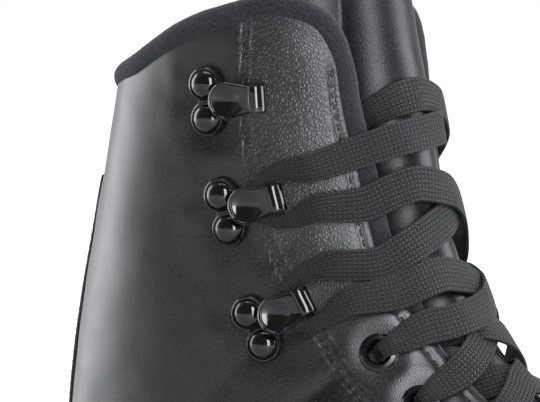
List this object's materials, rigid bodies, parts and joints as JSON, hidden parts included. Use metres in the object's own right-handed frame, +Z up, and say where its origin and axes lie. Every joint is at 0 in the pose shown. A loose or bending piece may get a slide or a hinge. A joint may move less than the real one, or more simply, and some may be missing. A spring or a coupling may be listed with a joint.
{
  "type": "figure ice skate",
  "caption": "Lace-up figure ice skate for the right foot: padded ankle boot with hook and eyelet lacing, folding tongue, heeled sole and steel blade with toe pick.",
  "frame": {"origin": "centre of the footprint at ice level, under the lowest point of the whole skate", "axes": "+X from heel to toe, +Z up, -Y the outer (lateral) side of a right foot"},
  "size_m": [0.2888, 0.0919, 0.2753],
  "materials": {
    "black_leather": "satin, fine pebble grain",
    "felt": "matte felt",
    "lining_textile": "matte brushed textile",
    "foam": "matte",
    "stiffener": "matte",
    "fibre_board": "matte pressed fibre",
    "sole_rubber": "matte",
    "black_enamel": "gloss black enamel on steel",
    "plated_steel": "nickel plated",
    "blade_steel": "polished, nickel plated",
    "lace_cotton": "flat braid",
    "aglet_plastic": "gloss"
  },
  "bodies": {
    "boot": {"vamp": "black_leather", "toe_puff": "stiffener", "vamp_padding": "foam", "vamp_lining": "lining_textile", "quarter_lateral": "black_leather", "quarter_medial": "black_leather", "facing_lateral": "black_leather", "facing_medial": "black_leather", "ankle_padding_lateral": "foam", "ankle_padding_medial": "foam", "collar_padding": "foam", "heel_counter": "stiffener", "quarter_lining": "lining_textile", "collar_binding": "felt", "backstay": "felt", "insole_board": "fibre_board", "footbed": "lining_textile", "outsole": "sole_rubber", "heel_block": "sole_rubber", "heel_lift": "sole_rubber", "sole_plate": "plated_steel", "heel_plate": "plated_steel", "blade": "blade_steel", "sole_screws": "plated_steel", "heel_screws": "plated_steel", "hook_lateral_1": "black_enamel", "hook_lateral_2": "black_enamel", "hook_lateral_3": "black_enamel", "hook_medial_1": "black_enamel", "hook_medial_2": "black_enamel", "hook_medial_3": "black_enamel", "rivet_washers": "plated_steel", "eyelet_lateral_1": "black_enamel", "eyelet_lateral_2": "black_enamel", "eyelet_lateral_3": "black_enamel", "eyelet_lateral_4": "black_enamel", "eyelet_lateral_5": "black_enamel", "eyelet_medial_1": "black_enamel", "eyelet_medial_2": "black_enamel", "eyelet_medial_3": "black_enamel", "eyelet_medial_4": "black_enamel", "eyelet_medial_5": "black_enamel", "eyelet_washers": "plated_steel", "lace": "lace_cotton", "aglets": "aglet_plastic"},
    "tongue": {"tongue_outer": "black_leather", "tongue_foam": "foam", "tongue_lining": "lining_textile"}
  },
  "joints": [
    {"name": "tongue_fold", "type": "hinge", "parent": "boot", "child": "tongue", "pos_m": [0.066, 0, 0.106], "axis": [0, -1, 0], "range_deg": [0, 10], "stiffness_Nm_per_rad": 1.5}
  ]
}
